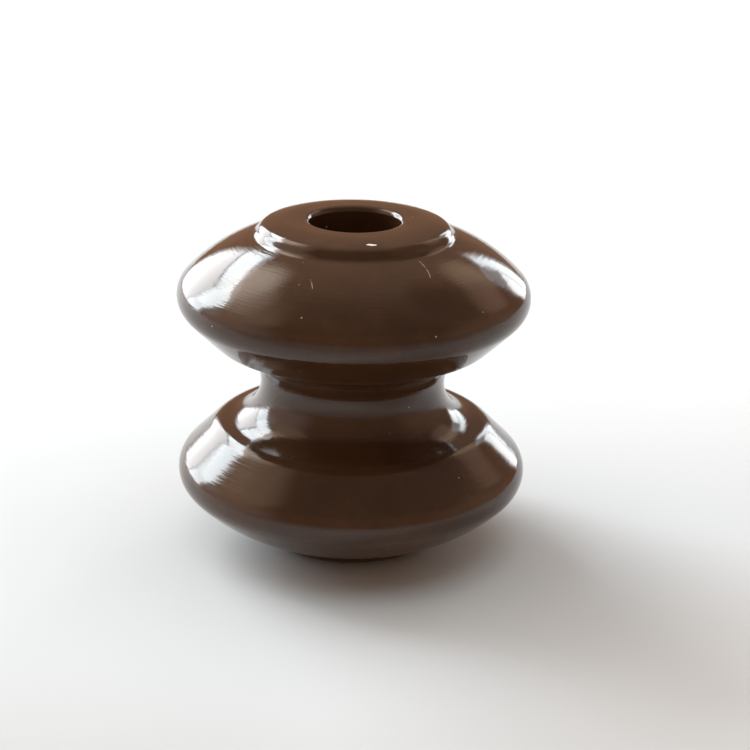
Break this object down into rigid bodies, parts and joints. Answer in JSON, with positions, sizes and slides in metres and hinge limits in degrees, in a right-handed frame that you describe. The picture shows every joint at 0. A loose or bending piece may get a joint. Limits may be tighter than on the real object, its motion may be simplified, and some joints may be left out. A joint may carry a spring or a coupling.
{
  "type": "shackle insulator",
  "caption": "Brown glazed porcelain spool insulator with two rounded flanges, a waist groove for the line wire, raised end lands and a plain through bore.",
  "frame": {"origin": "centre of the flat foot, on the axis of the bore", "axes": "+Z along the bore, up from the unglazed foot; the part is the same all round that axis"},
  "size_m": [0.079, 0.079, 0.075],
  "materials": {
    "bare_porcelain": "unglazed fired porcelain, fine grained and matt",
    "brown_glaze": "glossy dark brown glaze"
  },
  "bodies": {
    "root": {"porcelain_body": "bare_porcelain", "glaze_coat": "brown_glaze"}
  },
  "joints": []
}
